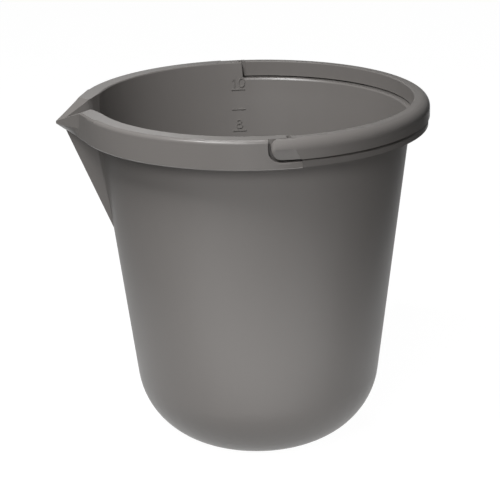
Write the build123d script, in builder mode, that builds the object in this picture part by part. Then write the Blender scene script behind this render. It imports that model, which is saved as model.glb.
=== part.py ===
import math
import os

from build123d import *

os.makedirs("parts", exist_ok=True)

# Overall size in millimetres; origin at the centre of the base, +Z up, spout towards -X
rim_height = 295.9
rim_radius = 144.0
rim_overhang = 12.4
wall_base_radius = 96.2
bottom_round = 66.0
wall = 2.2

# Turned-over rim
skirt_height = 22.8
skirt_edge = 0.8
rim_round = 3.0
lip_edge = 0.8

# Seat of the handle in the rim
seat_drop = 14.4
seat_round = 8.0
seat_lip = 1.0
seat_lip_drop = 1.4
seat_inset = 0.5
seat_rise = 0.6
pocket_end_gap = 1.5
notch_edge = 1.5
ear_width = 7.4
ear_half_length = 4.7
ear_reach = 7.5
ear_slant = 0.6
ear_foot = 1.5

# Swing handle
handle_shift = 1.7
handle_proud = 0.6
handle_width = 13.0
handle_skirt = 15.3
handle_inner_skirt = 13.1
handle_round = 8.0
handle_wall = 2.4
handle_foot = 3.2
handle_foot_drop = 0.3
nose_length = 14.2
nose_round = 5.0
nose_swell = 0.4
ear_end_gap = 1.7
pad_length = 2.0
pad_slant = 1.0
pad_gap = 0.8
facet_depth = 0.4
facet_lean = 2.6
facet_drop = 7.0
facet_slant = 4.3

# Pivot studs on the bucket, bores in the handle
pivot_x = 0.9
stud_radius = 3.0
stud_length = 3.6
bore_clearance = 0.05
bore_end_gap = 0.5
face_gap = 0.4
notch_gap = 1.9

# Pouring spout
beak_reach = 17.5
beak_drop = 12.2
beak_half_width = 24.0
beak_narrowing = 4.3
beak_swell = 1.6
beak_face = 2.1
beak_lean = 1.33
beak_rise = 3.0
beak_crease_drop = 1.6
neck_half_width = 16.2
neck_inset = 10.7
mouth_half_width = 39.0
neck_round = 20.0
ridge_slope = 0.4
ridge_setback = 8.7

# Sizes that follow from the ones above
wall_top_radius = rim_radius - rim_overhang
lean = (wall_top_radius - wall_base_radius) / rim_height
wall_angle = math.atan(lean)
wall_across = wall / math.cos(wall_angle)
skirt_z = rim_height - skirt_height
seat_z = rim_height - seat_drop
nose_radius = handle_skirt / 2
pivot_z = rim_height - nose_radius
nose_top = rim_height + nose_swell
notch_radius = nose_radius + nose_swell + notch_gap
notch_x = pivot_x - notch_radius
pocket_z = pivot_z - notch_radius
nose_end = pivot_x + nose_length
pocket_end = nose_end + pocket_end_gap
ear_end = pivot_x + ear_reach
inner_start = ear_end + ear_end_gap
ear_y = wall_top_radius + ear_width
nose_y = ear_y + face_gap
pad_y = wall_top_radius + pad_gap
pad_end = inner_start + pad_length
handle_radius = rim_radius + handle_proud + handle_shift
handle_inner_radius = handle_radius - handle_width
outer_edge = handle_radius - handle_shift
inner_edge = handle_inner_radius - handle_shift
handle_axis = Axis((-handle_shift, 0, 0), (0, 0, 1))
pivot_axis = Axis((pivot_x, 0, pivot_z), (0, 1, 0))
beyond = 2 * rim_radius
above = rim_height + 20


def outer_radius(z):
    return wall_base_radius + lean * z


def inner_radius(z):
    return outer_radius(z) - wall_across


def shrunk(points, apex, share):
    return [(apex[0] + (x - apex[0]) * share, y * share) for x, y in points]


# Rounded corner between the flat base and the leaning wall
foot_radius = wall_base_radius - bottom_round * math.tan(math.radians(45) - wall_angle / 2)
corner_turn = -(math.radians(90) + wall_angle) / 2


def corner(radius, turn):
    return (foot_radius + radius * math.cos(turn), bottom_round + radius * math.sin(turn))


# Outline of the spout: the outer V of the beak, then the channel and the gusset behind it
tip_x = rim_radius + beak_reach
tip_z = rim_height - beak_drop
face_z = tip_z - beak_face
blend_y = 2.25 * beak_half_width
blend_x = math.sqrt(rim_radius**2 - blend_y**2)


def beak_outline(z, inset):
    half = beak_half_width - beak_narrowing * (rim_height - z) / skirt_height
    keep = 1 - inset / rim_radius
    crease_x = math.sqrt((rim_radius + beak_swell) ** 2 - half**2) * keep
    front_x = tip_x + beak_lean * min(z - face_z, 0) - 1.3 * inset
    root_x = wall_base_radius
    side = [(-root_x, -blend_y * keep), (-blend_x * keep, -blend_y * keep), (-crease_x, -half * keep)]
    return side + [(-front_x, 0)] + [(x, -y) for x, y in reversed(side)]


crease_low_x = math.sqrt((rim_radius + beak_swell) ** 2 - (beak_half_width - beak_narrowing) ** 2)
front_low_x = tip_x + beak_lean * (skirt_z + beak_rise - face_z)
beak_slope = beak_rise / (front_low_x - crease_low_x)
ridge_foot_x = tip_x - ridge_setback
ridge_top_x = ridge_foot_x + ridge_slope * skirt_height
neck_x = rim_radius - neck_inset
flank_angle = math.atan2(neck_half_width, ridge_top_x - neck_x)
channel_top_x = ridge_top_x - wall / math.sin(flank_angle)
mouth_x = math.sqrt(inner_radius(rim_height) ** 2 - mouth_half_width**2)
mouth_out_y = mouth_half_width + wall
mouth_out_x = math.sqrt(outer_radius(rim_height) ** 2 - mouth_out_y**2)
skew = wall * math.cos(math.radians(45))

channel_side = [
    (-wall_base_radius, -mouth_half_width),
    (-mouth_x, -mouth_half_width),
    (-neck_x, -neck_half_width),
]
gusset_side = [
    (-wall_base_radius, -mouth_out_y),
    (-mouth_out_x, -mouth_out_y),
    (-neck_x - skew, -neck_half_width - skew),
]
channel_outline = channel_side + [(-channel_top_x, 0)] + [(x, -y) for x, y in reversed(channel_side)]
gusset_outline = gusset_side + [(-ridge_top_x, 0)] + [(x, -y) for x, y in reversed(gusset_side)]

gusset_fall = (ridge_foot_x - outer_radius(skirt_z)) / (ridge_slope - lean)
gusset_z = skirt_z - gusset_fall
gusset_apex = (-outer_radius(gusset_z) + 0.3 * wall, 0)
channel_fall = (channel_top_x - inner_radius(rim_height)) / (ridge_slope - lean)
channel_z = rim_height - channel_fall
channel_apex = (-inner_radius(channel_z) + 0.3 * wall, 0)
apex_share = 0.02

# The two planes of the beak's top meet the rim along its mitres and meet each other in a valley
crease_run = tip_x - math.sqrt((rim_radius + beak_swell) ** 2 - beak_half_width**2)
neck_run = tip_x - neck_x
valley_det = crease_run * neck_half_width - neck_run * beak_half_width
crease_rise = beak_drop - beak_crease_drop
valley_slope = (crease_rise * neck_half_width - beak_drop * beak_half_width) / valley_det
valley_side = (beak_drop * crease_run - crease_rise * neck_run) / valley_det
valley_start_x = wall_base_radius
valley_start_z = tip_z + valley_slope * (tip_x - valley_start_x)
valley_rise = 60.0
valley_length = 1.3 * (tip_x - valley_start_x)

# Room for the handle in the rim: a round notch at each pivot, then the open seat
with BuildPart() as handle_bay:
    with BuildSketch(Plane.XZ):
        with BuildLine():
            Line((notch_x, above), (notch_x, pivot_z))
            RadiusArc((notch_x, pivot_z), (pivot_x, pocket_z), -notch_radius)
            Polyline(
                (pivot_x, pocket_z),
                (pocket_end, pocket_z),
                (pocket_end, seat_z),
                (beyond, seat_z),
                (beyond, above),
                (notch_x, above),
            )
        make_face()
    extrude(amount=beyond, both=True)
    with BuildSketch(Plane.XZ):
        with BuildLine():
            Polyline(
                (-beyond, 0),
                (ear_end + ear_slant + ear_foot, 0),
                (ear_end + ear_slant + ear_foot, seat_z),
                (ear_end + ear_slant, seat_z + ear_foot),
                (ear_end - ear_slant, rim_height),
                (ear_end - ear_slant, above + 1),
                (-beyond, above + 1),
                close=True,
            )
        make_face()
    extrude(amount=wall_top_radius, both=True, mode=Mode.SUBTRACT)
    with BuildSketch(Plane.XZ):
        with Locations((pivot_x + ear_half_length - beyond, rim_height)):
            Rectangle(2 * beyond, 2 * rim_height)
    extrude(amount=ear_y, both=True, mode=Mode.SUBTRACT)
    with BuildSketch(Plane.XZ):
        with Locations((0, seat_z - rim_height)):
            Rectangle(2 * beyond, 2 * rim_height)
    extrude(amount=ear_y, both=True, mode=Mode.SUBTRACT)

# Outer shoulder of the lowered rim and its set-back skirt, taken off as rings beyond the pockets
with BuildPart() as seat_shoulder:
    with BuildSketch(Plane.XZ):
        with BuildLine():
            Line((rim_radius - seat_round, seat_z), (rim_radius - seat_round, above))
            Polyline(
                (rim_radius - seat_round, above),
                (beyond, above),
                (beyond, seat_z - seat_round),
                (rim_radius, seat_z - seat_round),
            )
            RadiusArc((rim_radius, seat_z - seat_round), (rim_radius - seat_round, seat_z), -seat_round)
        make_face()
    revolve(axis=handle_axis)
    with BuildSketch(Plane.XZ):
        with Locations((rim_radius - seat_inset, skirt_z - 1)):
            Rectangle(rim_radius, seat_z - skirt_z, align=(Align.MIN, Align.MIN))
        with Locations((rim_radius - 2 * wall, skirt_z - 1)):
            Rectangle(rim_radius, 1 + seat_rise, align=(Align.MIN, Align.MIN))
    revolve(axis=Axis.Z)
    with BuildSketch(Plane.XZ):
        with Locations((pocket_end + beyond, rim_height / 2)):
            Rectangle(2 * beyond, 2 * above)
    extrude(amount=2 * beyond, both=True, mode=Mode.INTERSECT)

# Broken inner edge of the lowered rim, between the ears
with BuildPart() as seat_edge:
    with BuildSketch(Plane.XZ):
        with BuildLine():
            edge_low_z = seat_z - seat_lip_drop
            edge_r = inner_radius(edge_low_z) + seat_lip
            Polyline(
                (inner_radius(edge_low_z), edge_low_z),
                (edge_r, seat_z),
                (edge_r, above),
                (wall_base_radius, above),
                (wall_base_radius, edge_low_z),
                close=True,
            )
        make_face()
    revolve(axis=Axis.Z)
    with BuildSketch(Plane.XZ):
        with Locations((ear_end + ear_slant + ear_foot + beyond, rim_height / 2)):
            Rectangle(2 * beyond, 2 * above)
    extrude(amount=2 * beyond, both=True, mode=Mode.INTERSECT)

# Rounded outer edge of each notch: up its side, round its foot and along the pocket
with BuildPart() as notch_rounding:
    edge_y = rim_radius - notch_edge
    with BuildSketch(Plane.YZ.offset(pivot_x)) as pocket_edge:
        with BuildLine():
            Line((edge_y, pocket_z), (beyond, pocket_z))
            edge_z = pocket_z - notch_edge
            Polyline((beyond, pocket_z), (beyond, edge_z), (rim_radius, edge_z))
            RadiusArc((rim_radius, edge_z), (edge_y, pocket_z), -notch_edge)
        make_face()
        mirror(about=Plane.YZ)
    revolve(axis=pivot_axis, revolution_arc=90)
    extrude(pocket_edge.sketch, amount=pocket_end - pivot_x)
    with BuildSketch(Plane.XY.offset(pivot_z)):
        with BuildLine():
            Line((notch_x, edge_y), (notch_x, beyond))
            Polyline((notch_x, beyond), (notch_x - notch_edge, beyond), (notch_x - notch_edge, rim_radius))
            RadiusArc((notch_x - notch_edge, rim_radius), (notch_x, edge_y), notch_edge)
        make_face()
        mirror(about=Plane.XZ)
    extrude(amount=above - pivot_z)

# Open underside of the rim: shallow all the way round, deep on the spout's half
with BuildPart() as rim_void:
    with BuildSketch(Plane.XZ):
        with BuildLine():
            Polyline(
                (wall_base_radius, skirt_z - 1),
                (rim_radius - wall, skirt_z - 1),
                (rim_radius - wall, rim_height - wall),
                (wall_base_radius, rim_height - wall),
                close=True,
            )
        make_face()
    revolve(axis=Axis.Z)
    with BuildSketch(Plane.XY.offset(pocket_z - wall)):
        with Locations((notch_x - wall + beyond, 0)):
            Rectangle(2 * beyond, 2 * beyond)
    extrude(amount=rim_height, mode=Mode.SUBTRACT)
    with BuildSketch(Plane.XY.offset(tip_z - wall)):
        with Locations((-beyond, 0)):
            Rectangle(2 * beyond, 2 * (beak_half_width + wall))
    extrude(amount=rim_height, mode=Mode.SUBTRACT)
    with BuildSketch(Plane.XY.offset(skirt_z - 1)):
        with BuildLine():
            Polyline(*beak_outline(skirt_z - 1, 1.2 * wall), close=True)
        make_face()
    with BuildSketch(Plane.XY.offset(tip_z - wall)):
        with BuildLine():
            Polyline(*beak_outline(tip_z - wall, 1.2 * wall), close=True)
        make_face()
    loft(ruled=True)

# Beak of the spout, widening upwards, with its underside rising to the tip
with BuildPart() as beak:
    for level, inset in (
        (skirt_z, 0.7 * skirt_edge),
        (skirt_z + skirt_edge, 0),
        (face_z, 0),
        (rim_height - 0.5 * rim_round, 0),
        (rim_height, 0.4 * rim_round),
    ):
        with BuildSketch(Plane.XY.offset(level)):
            with BuildLine():
                Polyline(*beak_outline(level, inset), close=True)
            make_face()
    loft(ruled=True)
    with BuildSketch(Plane.XZ):
        with BuildLine():
            Polyline(
                (-crease_low_x, skirt_z),
                (-beyond, skirt_z + beak_slope * (beyond - crease_low_x)),
                (-beyond, skirt_z - 1),
                (-crease_low_x, skirt_z - 1),
                close=True,
            )
        make_face()
    extrude(amount=beyond, both=True, mode=Mode.SUBTRACT)

# Gusset under the spout, falling back to the wall
with BuildPart() as gusset:
    with BuildSketch(Plane.XY.offset(rim_height)):
        with BuildLine():
            Polyline(*gusset_outline, close=True)
        make_face()
    with BuildSketch(Plane.XY.offset(gusset_z + apex_share * (rim_height - gusset_z))):
        with BuildLine():
            Polyline(*shrunk(gusset_outline, gusset_apex, apex_share), close=True)
        make_face()
    loft(ruled=True)

# Channel inside the spout
with BuildPart() as channel:
    with BuildSketch(Plane.XY.offset(rim_height)):
        with BuildLine():
            Polyline(*channel_outline, close=True)
        neck_face = make_face()
        fillet(neck_face.vertices().group_by(Axis.X)[1], neck_round)
    with BuildSketch(Plane.XY.offset(channel_z + apex_share * (rim_height - channel_z))):
        with BuildLine():
            Polyline(*shrunk(channel_outline, channel_apex, apex_share), close=True)
        neck_face = make_face()
        fillet(neck_face.vertices().group_by(Axis.X)[1], neck_round * apex_share)
    loft(ruled=True)

# Bucket: rim and beak, hollowed from below, then the wall, the spout, the seat and the inside
with BuildPart() as bucket_shell:
    with BuildSketch(Plane.XZ):
        with BuildLine():
            Polyline(
                (rim_radius - rim_round, rim_height),
                (wall_base_radius, rim_height),
                (wall_base_radius, skirt_z),
                (rim_radius - 0.7 * skirt_edge, skirt_z),
                (rim_radius, skirt_z + skirt_edge),
                (rim_radius, rim_height - rim_round),
            )
            RadiusArc(
                (rim_radius, rim_height - rim_round),
                (rim_radius - rim_round, rim_height),
                -rim_round,
            )
        make_face()
    revolve(axis=Axis.Z)
    add(beak.part)
    add(rim_void.part, mode=Mode.SUBTRACT)
    with BuildSketch(Plane.XZ):
        with BuildLine():
            Polyline((0, rim_height), (0, 0), (foot_radius, 0))
            ThreePointArc(
                (foot_radius, 0),
                corner(bottom_round, corner_turn),
                corner(bottom_round, -wall_angle),
            )
            Polyline(corner(bottom_round, -wall_angle), (wall_top_radius, rim_height), (0, rim_height))
        make_face()
    revolve(axis=Axis.Z)
    add(gusset.part)
    with BuildSketch(Plane.YZ.offset(-valley_start_x)):
        with BuildLine():
            Polyline(
                (0, valley_start_z),
                (valley_rise / valley_side, valley_start_z + valley_rise),
                (-valley_rise / valley_side, valley_start_z + valley_rise),
                close=True,
            )
        make_face()
    extrude(amount=valley_length, dir=(-1, 0, -valley_slope), mode=Mode.SUBTRACT)
    add(handle_bay.part, mode=Mode.SUBTRACT)
    add(seat_shoulder.part, mode=Mode.SUBTRACT)
    add(seat_edge.part, mode=Mode.SUBTRACT)
    add(notch_rounding.part, mode=Mode.SUBTRACT)
    with BuildSketch(Plane.XZ):
        with Locations((pivot_x, pivot_z)):
            Circle(stud_radius)
    extrude(amount=ear_y + stud_length, both=True)
    with BuildSketch(Plane.XZ):
        with BuildLine():
            Polyline((0, above), (0, wall), (foot_radius, wall))
            ThreePointArc(
                (foot_radius, wall),
                corner(bottom_round - wall, corner_turn),
                corner(bottom_round - wall, -wall_angle),
            )
            lip_z = rim_height - lip_edge
            lip_r = inner_radius(lip_z) + lip_edge
            Polyline(
                corner(bottom_round - wall, -wall_angle),
                (inner_radius(lip_z), lip_z),
                (lip_r, rim_height),
                (lip_r, above),
                (0, above),
            )
        make_face()
    revolve(axis=Axis.Z, mode=Mode.SUBTRACT)
    add(channel.part, mode=Mode.SUBTRACT)

# Hollow of the handle, open below, from nose to nose; its ring is centred a little towards the spout
with BuildPart() as handle_void:
    with BuildSketch(Plane.XZ):
        with BuildLine():
            Polyline(
                (inner_edge - handle_width, rim_height - 2 * handle_skirt),
                (outer_edge - handle_foot, rim_height - 2 * handle_skirt),
                (outer_edge - handle_foot, rim_height - handle_skirt),
                (outer_edge - handle_wall, rim_height - handle_inner_skirt),
                (outer_edge - handle_wall, rim_height - handle_round),
            )
            RadiusArc(
                (outer_edge - handle_wall, rim_height - handle_round),
                (outer_edge - handle_round, rim_height - handle_wall),
                -(handle_round - handle_wall),
            )
            Polyline(
                (outer_edge - handle_round, rim_height - handle_wall),
                (inner_edge + handle_wall, rim_height - handle_wall),
                (inner_edge + handle_wall, rim_height - handle_inner_skirt),
                (inner_edge - handle_width, rim_height - handle_inner_skirt),
                (inner_edge - handle_width, rim_height - 2 * handle_skirt),
            )
        make_face()
    revolve(axis=handle_axis)
    with BuildSketch(Plane.XZ):
        with Locations((nose_end + beyond, 0)):
            Rectangle(2 * beyond, 4 * above)
    extrude(amount=2 * beyond, both=True, mode=Mode.INTERSECT)

# Room the handle's ring is kept to: a round button at each pivot, then a straight band
with BuildPart() as handle_room:
    with BuildSketch(Plane.YZ.offset(pivot_x)):
        with BuildLine():
            button_reach = handle_radius + nose_swell
            button_y = button_reach - nose_round
            button_z = nose_top - nose_round
            Polyline(
                (button_reach, button_z),
                (beyond, button_z),
                (beyond, pivot_z),
                (-beyond, pivot_z),
                (-beyond, button_z),
                (-button_reach, button_z),
            )
            RadiusArc((-button_reach, button_z), (-button_y, nose_top), nose_round)
            Line((-button_y, nose_top), (button_y, nose_top))
            RadiusArc((button_y, nose_top), (button_reach, button_z), nose_round)
        make_face()
    revolve(axis=pivot_axis)
    with BuildSketch(Plane.XZ):
        with Locations((pivot_x + beyond, rim_height)):
            Rectangle(2 * beyond, 4 * handle_skirt)
    extrude(amount=beyond, both=True)

# Slanting flat under the nose, one on each side
with BuildPart() as nose_facet:
    with BuildSketch(Plane.XZ):
        with BuildLine():
            facet_low_z = rim_height - 2 * handle_skirt
            facet_run = (2 * handle_skirt - facet_drop) / (handle_skirt - facet_drop)
            Polyline(
                (-beyond, rim_height - facet_drop),
                (nose_end - facet_slant, rim_height - facet_drop),
                (nose_end - facet_slant + facet_slant * facet_run, facet_low_z),
                (-beyond, facet_low_z),
                close=True,
            )
        make_face()
    extrude(amount=beyond, both=True)
    with BuildSketch(Plane.YZ.offset(-beyond)):
        with BuildLine():
            facet_y = handle_radius - facet_depth
            facet_low_y = facet_y - facet_lean * facet_run
            Polyline(
                (facet_y, above),
                (facet_y, rim_height - facet_drop),
                (facet_low_y, facet_low_z),
                (facet_low_y, 0),
                (-facet_low_y, 0),
                (-facet_low_y, facet_low_z),
                (-facet_y, rim_height - facet_drop),
                (-facet_y, above),
                close=True,
            )
        make_face()
    extrude(amount=2 * beyond, mode=Mode.SUBTRACT)

# Swing handle: half ring with a solid half-round nose at each pivot
with BuildPart() as carry_handle:
    with BuildSketch(Plane.XZ):
        with BuildLine():
            foot_z = rim_height - handle_skirt - handle_foot_drop
            Polyline(
                (outer_edge - handle_round, rim_height),
                (inner_edge + lip_edge, rim_height),
                (inner_edge, rim_height - lip_edge),
                (inner_edge, foot_z),
                (outer_edge - handle_foot, foot_z),
                (outer_edge, rim_height - handle_skirt),
                (outer_edge, rim_height - handle_round),
            )
            RadiusArc(
                (outer_edge, rim_height - handle_round),
                (outer_edge - handle_round, rim_height),
                -handle_round,
            )
        make_face()
    revolve(axis=handle_axis)
    add(handle_room.part, mode=Mode.INTERSECT)
    add(handle_void.part, mode=Mode.SUBTRACT)
    with BuildSketch(Plane.XZ):
        with BuildLine():
            Polyline(
                (-beyond, rim_height - 2 * handle_skirt),
                (nose_end, rim_height - 2 * handle_skirt),
                (nose_end, rim_height - handle_inner_skirt),
                (inner_start + pad_slant, rim_height - handle_inner_skirt),
                (inner_start - pad_slant, rim_height),
                (inner_start - pad_slant, above),
                (-beyond, above),
                close=True,
            )
        make_face()
    extrude(amount=nose_y, both=True, mode=Mode.SUBTRACT)
    for side in (-1, 1):
        with BuildSketch(Plane.XZ.offset(side * pad_y)):
            with BuildLine():
                Polyline(
                    (inner_start + pad_slant, rim_height - handle_inner_skirt),
                    (pad_end + pad_slant, rim_height - handle_inner_skirt),
                    (pad_end, rim_height),
                    (inner_start - pad_slant, rim_height),
                    close=True,
                )
            make_face()
        extrude(amount=side * (nose_y - pad_y))
    with BuildSketch(Plane.XZ):
        with Locations((pivot_x, pivot_z)):
            Circle(stud_radius + bore_clearance)
    extrude(amount=ear_y + stud_length + bore_end_gap, both=True, mode=Mode.SUBTRACT)
    add(nose_facet.part, mode=Mode.SUBTRACT)

bucket_shell.part.label = "bucket_shell"
carry_handle.part.label = "carry_handle"
export_step(bucket_shell.part, "parts/bucket_shell.step")
export_step(carry_handle.part, "parts/carry_handle.step")
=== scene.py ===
import math

import bmesh
import bpy
from mathutils import Matrix, Vector


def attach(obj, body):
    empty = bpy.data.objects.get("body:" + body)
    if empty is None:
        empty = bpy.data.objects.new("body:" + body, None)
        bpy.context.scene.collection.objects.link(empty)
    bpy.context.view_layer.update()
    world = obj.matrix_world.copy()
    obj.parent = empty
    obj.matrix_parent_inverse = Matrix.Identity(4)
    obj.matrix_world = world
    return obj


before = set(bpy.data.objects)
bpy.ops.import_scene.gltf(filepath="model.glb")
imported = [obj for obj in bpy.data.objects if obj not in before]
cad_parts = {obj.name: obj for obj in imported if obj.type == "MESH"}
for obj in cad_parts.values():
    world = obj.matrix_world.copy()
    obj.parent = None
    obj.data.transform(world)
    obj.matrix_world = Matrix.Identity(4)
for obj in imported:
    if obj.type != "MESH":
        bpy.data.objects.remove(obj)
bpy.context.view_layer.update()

# Bucket shell: wall, flat base, turned-over rim and pouring spout in one piece.
# Grey polypropylene, injection moulded; the mould's fine spark finish leaves the wall satin, with faint
# flow marks that run up from the gate in the base. The mould is smoother at the rim.

dark_grey, light_grey = (.182, .170, .1615, 1), (.206, .194, .185, 1)
rim_roughness, wall_roughness, uneven_roughness = .28, .40, .10
wall_finish_top, rim_finish_foot = .262, .276
cloud_scale, flow_scale, speck_scale, grain_scale = 14, 55, 900, 1500
cloud_share, flow_share, speck_share = .45, .35, .2
flow_stretch = (1, 1, .06)
grain_strength, grain_depth = .25, .0001


class Value:
    """A socket of a node tree; sums of values are written as Python and add their Math nodes."""

    def __init__(self, tree, socket=None):
        self.tree, self.socket = tree, socket

    def node(self, kind, settings, sockets, output=0):
        made = self.tree.nodes.new(kind)
        for name, setting in settings.items():
            setattr(made, name, setting)
        for name, value in sockets.items():
            if isinstance(value, Value):
                self.tree.links.new(value.socket, made.inputs[name])
            else:
                made.inputs[name].default_value = value
        return Value(self.tree, made.outputs[output]) if len(made.outputs) else made

    def sum(self, operation, left, right):
        return self.node("ShaderNodeMath", {"operation": operation}, {0: left, 1: right})

    def blend(self, share, first, second):
        return self.node("ShaderNodeMix", {"data_type": "RGBA"}, {0: share, 6: first, 7: second}, 2)

    def noise(self, place, scale, detail=3.0):
        return self.node("ShaderNodeTexNoise", {}, {"Vector": place, "Scale": scale, "Detail": detail})

    def __add__(self, other):
        return self.sum("ADD", self, other)

    def __sub__(self, other):
        return self.sum("SUBTRACT", self, other)

    def __rsub__(self, other):
        return self.sum("SUBTRACT", other, self)

    def __mul__(self, other):
        return self.sum("MULTIPLY", self, other)

    def __truediv__(self, other):
        return self.sum("DIVIDE", self, other)

    def __rtruediv__(self, other):
        return self.sum("DIVIDE", other, self)

    __radd__, __rmul__ = __add__, __mul__


def bare_tree(owner):
    owner.use_nodes = True
    owner.node_tree.nodes.clear()
    return Value(owner.node_tree)


def fade(value, start, end):
    return value.node("ShaderNodeMapRange", {"interpolation_type": "SMOOTHSTEP"}, {
        "Value": value, "From Min": start, "From Max": end, "To Min": 1.0, "To Max": 0.0})


def moulded_plastic(name, shift):
    material = bpy.data.materials.new(name)
    plastic = bare_tree(material)
    place = plastic.node("ShaderNodeTexCoord", {}, {}, "Object")
    height = plastic.node("ShaderNodeSeparateXYZ", {}, {0: place}, "Z")
    place = plastic.node("ShaderNodeVectorMath", {"operation": "ADD"}, {0: place, 1: shift})
    upward = plastic.node("ShaderNodeVectorMath", {"operation": "MULTIPLY"}, {0: place, 1: flow_stretch})
    clouds = plastic.noise(place, cloud_scale)
    flow = plastic.noise(upward, flow_scale, 4)
    specks = plastic.noise(place, speck_scale, 2)
    grain = plastic.noise(place, grain_scale, 2)
    tone = cloud_share * clouds + flow_share * flow + speck_share * specks
    wall_finish = fade(height, wall_finish_top, rim_finish_foot)
    bump = plastic.node("ShaderNodeBump", {}, {
        "Height": grain, "Strength": grain_strength, "Distance": grain_depth})
    shader = plastic.node("ShaderNodeBsdfPrincipled", {}, {
        "Base Color": plastic.blend(tone, dark_grey, light_grey),
        "Roughness": rim_roughness + uneven_roughness * tone + (wall_roughness - rim_roughness) * wall_finish,
        "Normal": bump,
    })
    plastic.node("ShaderNodeOutputMaterial", {}, {"Surface": shader})
    return material


def dress(moulding, plastic):
    for holder in moulding.material_slots:
        holder.material = plastic
    even = moulding.modifiers.new("even_shading", "WEIGHTED_NORMAL")
    even.keep_sharp = True


shell_plastic = moulded_plastic("moulded_shell", (0, 0, 0))
dress(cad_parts["bucket_shell"], shell_plastic)

# Litre scale: a line for each litre and a numeral at every second one, on the inside of the wall.
# Cut into the core of the mould, so they are the shell's own plastic and stand just under a millimetre proud.

wall_lean, inside_foot = .1196, .0940
scale_angle = math.radians(90)
line_left, line_right, line_steps = -.0015, .0098, 6
line_heights = {10: .2719, 9: .2543, 8: .2351}
lowest_litre, one_litre, half_litre_drop = 2, .001, .011
stroke_foot, stroke_top, stroke_proud, stroke_root = .00055, .0004, .0008, .0003
numeral_width, numeral_height, numeral_gap, numeral_lift = .0052, .0074, .0015, .0023
numeral_pitch = numeral_width + numeral_gap
loop_points = 20


def inside_radius(height):
    return inside_foot + wall_lean * height


for litres in range(min(line_heights) - 1, lowest_litre - 1, -1):
    line_above = line_heights[litres + 1]
    middle_radius = inside_radius(line_above - half_litre_drop)
    line_heights[litres] = line_above - one_litre / (math.pi * middle_radius ** 2)


def on_wall(along, height, proud):
    slant = math.atan(wall_lean)
    angle = scale_angle - along / inside_radius(height)
    radius = inside_radius(height) - proud * math.cos(slant)
    return radius * math.cos(angle), radius * math.sin(angle), height + proud * math.sin(slant)


def raised_stroke(build, path, ring=False):
    stations = []
    for n, point in enumerate(path):
        ahead = path[(n + 1) % len(path)] if ring or n + 1 < len(path) else point
        behind = path[n - 1] if ring or n else point
        run = (Vector(ahead) - Vector(behind)).normalized()
        across = Vector((-run.y, run.x))
        end = 0 if ring else (n == 0) - (n + 1 == len(path))
        stations.append([
            build.verts.new(on_wall(*(Vector(point) + across * side + run * (back * end)), proud))
            for side, proud, back in (
                (-stroke_foot, -stroke_root, -stroke_foot),
                (-stroke_top, stroke_proud, -stroke_top),
                (stroke_top, stroke_proud, -stroke_top),
                (stroke_foot, -stroke_root, -stroke_foot),
            )
        ])
    for n in range(len(path) if ring else len(path) - 1):
        here, there = stations[n], stations[(n + 1) % len(path)]
        for k in range(4):
            build.faces.new((here[k], here[(k + 1) % 4], there[(k + 1) % 4], there[k]))
    if not ring:
        build.faces.new(reversed(stations[0]))
        build.faces.new(stations[-1])


def bow(middle, half_width, half_height, start, end, steps):
    turns = [math.radians(start + (end - start) * n / steps) for n in range(steps + 1)]
    return [(middle[0] + half_width * math.cos(a), middle[1] + half_height * math.sin(a)) for a in turns]


def loop(middle, half_width, half_height):
    return bow(middle, half_width, half_height, 0, 360 - 360 / loop_points, loop_points - 1)


numeral_strokes = {
    "0": [loop((.5, .5), .5, .5)],
    "1": [[(.25, .75), (.55, 1), (.55, 0)]],
    "2": [bow((.5, .7), .5, .3, 170, -40, 12) + [(0, 0), (1, 0)]],
    "4": [[(.72, 0), (.72, 1), (0, .32), (1, .32)]],
    "6": [loop((.5, .3), .5, .3), bow((1, .3), 1, .7, 180, 105, 8)],
    "8": [loop((.5, .77), .36, .23), loop((.5, .27), .5, .27)],
}

scale_build = bmesh.new()
for litres, height in line_heights.items():
    raised_stroke(scale_build, [
        (line_left + (line_right - line_left) * n / line_steps, height) for n in range(line_steps + 1)])
    if litres % 2 == 0:
        digits = str(litres)
        left = (line_left + line_right) / 2 - numeral_pitch * (len(digits) - 1) / 2 - numeral_width / 2
        foot = height + numeral_lift
        for digit in digits:
            for stroke in numeral_strokes[digit]:
                path = [(left + x * numeral_width, foot + y * numeral_height) for x, y in stroke]
                raised_stroke(scale_build, path, ring=len(path) == loop_points)
            left += numeral_pitch
bmesh.ops.recalc_face_normals(scale_build, faces=scale_build.faces[:])
scale_mesh = bpy.data.meshes.new("litre_scale")
scale_build.to_mesh(scale_mesh)
scale_build.free()
scale_mesh.materials.append(shell_plastic)
litre_scale = bpy.data.objects.new("litre_scale", scale_mesh)
bpy.context.scene.collection.objects.link(litre_scale)
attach(litre_scale, "bucket")

# Swing handle: a half ring of channel section, clipped on the two studs of the rim.
# Moulded from the same grey polypropylene as the shell, from its own mould.

handle_plastic = moulded_plastic("moulded_handle", (.31, .17, .05))
dress(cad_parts["carry_handle"], handle_plastic)

# Floor: a sheet rolled out wide under the bucket.
# Where the camera looks it glows white and keeps the bucket's faint shadow. The glow is a painted pool of
# light: to the front and the sides, where only the satin wall mirrors it, it falls off to grey, a painted shade
# in the wall's reflections.

floor_half, floor_cells = 6, 8
# The grey is the floor's painted glow outside the pool of light; the white is its glow inside.
sheet_white, painted_falloff_grey, sheet_matt = (1, 1, 1, 1), (.08, .08, .08, 1), (.12, .12, .12, 1)
sheet_glow = .98
pool_slant, pool_half_width, pool_spread = .14, .26, .16
pool_side, pool_side_end = 1.0, 1.8
pool_front, pool_front_end = .25, .5

floor_mesh = bpy.data.meshes.new("floor")
floor_build = bmesh.new()
bmesh.ops.create_grid(floor_build, x_segments=floor_cells, y_segments=floor_cells, size=floor_half)
floor_build.to_mesh(floor_mesh)
floor_build.free()
floor = bpy.data.objects.new("floor", floor_mesh)
bpy.context.scene.collection.objects.link(floor)


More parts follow.
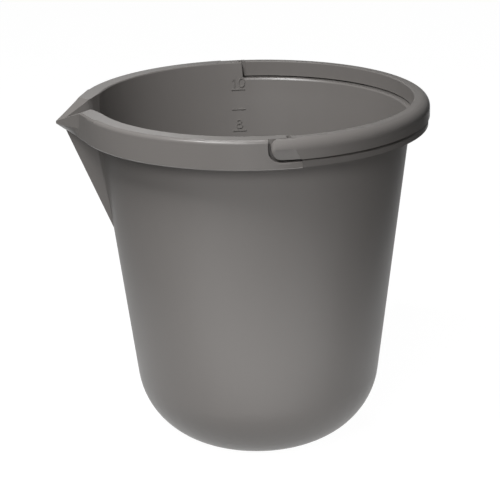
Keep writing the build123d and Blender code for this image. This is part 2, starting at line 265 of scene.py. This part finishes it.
def seen_rays(tree):
    rays = [tree.node("ShaderNodeLightPath", {}, {}, name) for name in (
        "Is Camera Ray", "Is Glossy Ray", "Is Transmission Ray")]
    return tree.sum("MAXIMUM", tree.sum("MAXIMUM", rays[0], rays[1]), rays[2])


floor_sheet = bpy.data.materials.new("floor_sheet")
sheet = bare_tree(floor_sheet)
point = sheet.node("ShaderNodeTexCoord", {}, {}, "Object")
across, away = (sheet.node("ShaderNodeSeparateXYZ", {}, {0: point}, axis) for axis in "XY")
middle = sheet.sum("ABSOLUTE", across - pool_slant * away, 0.0)
wide = pool_half_width + pool_spread * sheet.sum("MAXIMUM", away, 0.0)
# A painted pool of light: the floor's glow is white inside it and fades to a painted grey outside it.
painted_light_pool = fade(middle / wide, pool_side, pool_side_end) * fade(0.0 - away, pool_front, pool_front_end)
painted_pool_glow = sheet.blend(painted_light_pool, painted_falloff_grey, sheet_white)
glow = sheet.node("ShaderNodeEmission", {}, {"Color": painted_pool_glow, "Strength": sheet_glow})
matt = sheet.node("ShaderNodeBsdfDiffuse", {}, {"Color": sheet_matt})
white = sheet.node("ShaderNodeAddShader", {}, {0: glow, 1: matt})
look = sheet.node("ShaderNodeMixShader", {}, {0: seen_rays(sheet), 1: matt, 2: white})
sheet.node("ShaderNodeOutputMaterial", {}, {"Surface": look})
floor_mesh.materials.append(floor_sheet)

# Studio light: a key softbox high at the left, a second one beside the camera, and two behind the bucket that
# light the top of its rim. Three low panels lie face up on the floor, around the bucket and in front of it,
# and lift the foot of the wall as the bounce of a pale table does.

wall_middle, rim_foot, rim_top = (0, 0, .15), (0, 0, .28), (0, 0, .295)
room_dark, room_seen = (.006, .006, .006, 1), (.2, .2, .2, 1)


def softbox(name, spot, aim, size, power):
    lamp = bpy.data.lights.new(name, "AREA")
    lamp.shape, lamp.energy = "RECTANGLE", power
    lamp.size, lamp.size_y = size
    box = bpy.data.objects.new(name, lamp)
    box.location = spot
    box.rotation_euler = (Vector(aim) - Vector(spot)).to_track_quat("-Z", "Y").to_euler()
    bpy.context.scene.collection.objects.link(box)


def around(turn, lift, reach):
    turn, lift = math.radians(turn), math.radians(lift)
    flat = reach * math.cos(lift)
    return flat * math.sin(turn), -flat * math.cos(turn), wall_middle[2] + reach * math.sin(lift)


def floor_panel(name, x, y, z, size, power):
    softbox(name, (x, y, z), (x, y, 1), size, power)


softbox("key", around(-47, 60, 1.1), wall_middle, size=(.32, .32), power=9.2)
softbox("front", around(-19, 32, 1.6), wall_middle, size=(.45, .45), power=7.6)
softbox("high_back", around(180, 60, 2.0), rim_foot, size=(.35, .35), power=3.4)
softbox("low_back", (-.05, .8, .66), rim_top, size=(.17, .17), power=.19)
floor_panel("table", -.06, -.13, .0008, size=(.54, .56), power=.2)
floor_panel("near_card", -.04, -.26, .012, size=(.5, .2), power=.38)
floor_panel("front_card", -.13, -1.0, .012, size=(.5, .5), power=1.2)

world = bpy.data.worlds.new("studio")
room = bare_tree(world)
tone = room.blend(seen_rays(room), room_dark, room_seen)
walls = room.node("ShaderNodeBackground", {}, {"Color": tone, "Strength": 1.0})
room.node("ShaderNodeOutputWorld", {}, {"Surface": walls})
bpy.context.scene.world = world
bpy.context.scene.view_settings.view_transform = "Standard"

# Camera: a long lens on a tripod in front of the bucket, a little above its rim and turned to the spout's side.
# Its place, turn and lens come from fitting the curves of the rim, wall and base.

sensor_width, lens_length = 36, 118.8
distance = 1.39552
tilt, roll, turn = math.radians(18.69), math.radians(-1.235), math.radians(7.7)
aim = Vector((-.005047, 0, .164542))
facing = Matrix.Rotation(-turn, 3, "Z")
back = facing @ Vector((0, -math.cos(tilt), math.sin(tilt)))
right = facing @ Vector((1, 0, 0))
up = back.cross(right)
rolled_right = right * math.cos(roll) + up * math.sin(roll)
rolled_up = up * math.cos(roll) - right * math.sin(roll)
lens = bpy.data.cameras.new("camera")
lens.sensor_width = sensor_width
lens.lens = lens_length
camera = bpy.data.objects.new("camera", lens)
stand = Matrix((rolled_right, rolled_up, back)).transposed().to_4x4()
stand.translation = facing @ aim + back * distance
camera.matrix_world = stand
bpy.context.scene.collection.objects.link(camera)
bpy.context.scene.camera = camera
